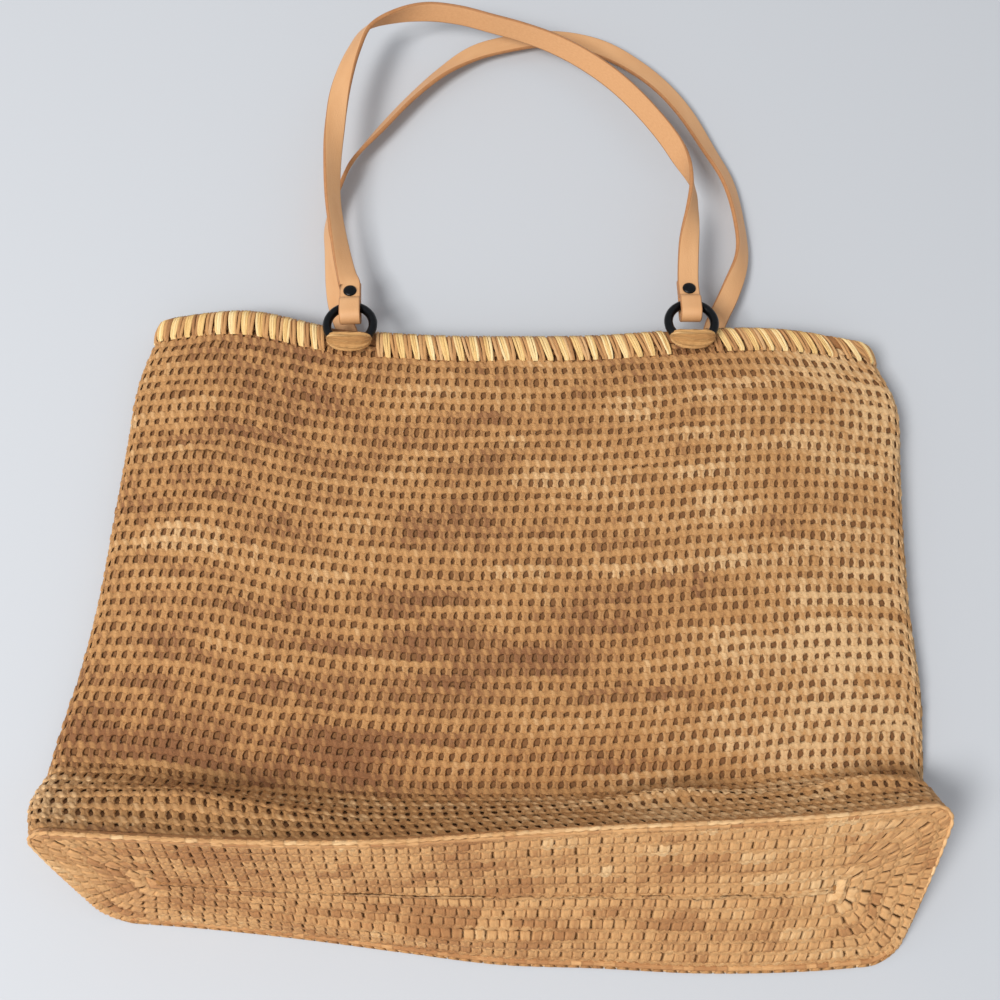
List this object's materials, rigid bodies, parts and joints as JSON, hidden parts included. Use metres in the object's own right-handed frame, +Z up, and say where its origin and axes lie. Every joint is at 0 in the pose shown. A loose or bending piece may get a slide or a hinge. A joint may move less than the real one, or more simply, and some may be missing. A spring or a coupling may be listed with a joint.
{
  "type": "straw basket bag",
  "caption": "Crocheted straw basket bag lying on its back, base folded up and mouth slack, with flat leather straps folded round black metal rings and riveted.",
  "frame": {"origin": "on the floor, under the middle of the back wall that the bag lies on", "axes": "+Z up out of the floor and the front wall, +Y from the base to the mouth and the straps, +X to the right as seen from above"},
  "size_m": [0.4695, 0.5574, 0.073],
  "materials": {
    "raffia": "crocheted natural raffia, golden tan and matte",
    "pale_raffia": "crocheted raffia, paler, matte with a dry straw sheen",
    "brown_raffia": "brown raffia cord under cream whip stitches",
    "leather": "natural vegetable tanned leather, satin face and darker flesh side",
    "black_metal": "black plated, semi gloss"
  },
  "bodies": {
    "root": {"crocheted_wall": "raffia", "base_panel": "pale_raffia", "rim_band": "brown_raffia", "ring_front_left": "black_metal", "ring_front_right": "black_metal", "ring_back_left": "black_metal", "ring_back_right": "black_metal", "ring_tab_front_left": "pale_raffia", "ring_tab_front_right": "pale_raffia", "ring_tab_back_left": "pale_raffia", "ring_tab_back_right": "pale_raffia", "strap_front": "leather", "strap_back": "leather", "rivet_front_left": "black_metal", "rivet_front_right": "black_metal", "rivet_back_left": "black_metal", "rivet_back_right": "black_metal"}
  },
  "joints": []
}
